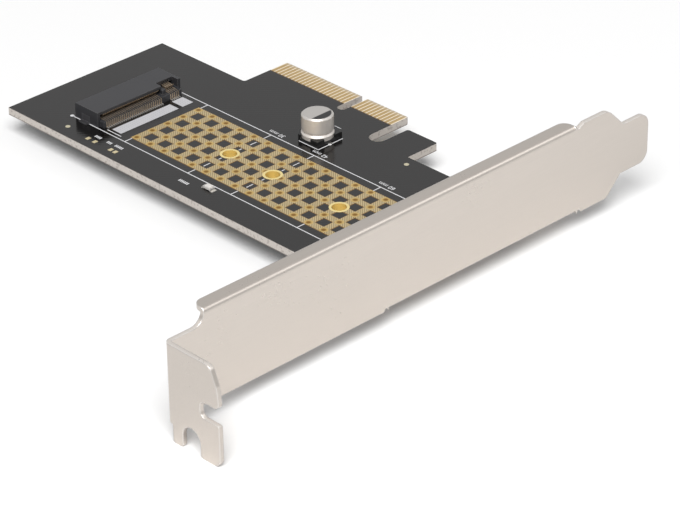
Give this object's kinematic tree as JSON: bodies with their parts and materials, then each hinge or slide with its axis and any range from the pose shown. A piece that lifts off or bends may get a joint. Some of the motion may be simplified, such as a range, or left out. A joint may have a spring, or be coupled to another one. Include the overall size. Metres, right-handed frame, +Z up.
{
  "type": "nvme adapter card",
  "caption": "Adapter card that carries a flat storage module in a low socket, with a keyed gold edge connector and a full-height slot bracket.",
  "frame": {"origin": "centre line of the key notch, at the outer edge of the edge contacts, halfway through the board's thickness", "axes": "+X the way the card is pushed into its slot and along the bracket to its tail, +Y away from the bracket along the card, +Z up from the side that carries the parts"},
  "size_m": [0.12, 0.1177, 0.022],
  "materials": {
    "board": "smooth black solder mask",
    "gold_copper": "satin gold plating",
    "contact_metal": "dull gold plating",
    "tin": "tinned",
    "black_plastic": "fine matt",
    "can_metal": "satin",
    "light_plastic": "milky",
    "bracket_steel": "nickel-plated, fine satin",
    "screw_steel": "bright"
  },
  "bodies": {
    "root": {"circuit_board": "board", "lattice_copper": "gold_copper", "edge_contacts_front": "gold_copper", "edge_contacts_back": "gold_copper", "hole_plating_30": "gold_copper", "hole_plating_42": "gold_copper", "hole_plating_60": "gold_copper", "hole_plating_80": "gold_copper", "part_pads": "gold_copper", "placing_pads": "gold_copper", "socket_housing": "black_plastic", "socket_lower_contacts": "contact_metal", "socket_upper_contacts": "contact_metal", "socket_anchor_left": "tin", "socket_anchor_right": "tin", "capacitor_can": "can_metal", "capacitor_base": "black_plastic", "capacitor_leads": "tin", "light_body": "light_plastic", "light_terminals": "tin", "bracket": "bracket_steel", "bracket_screws": "screw_steel"}
  },
  "joints": []
}
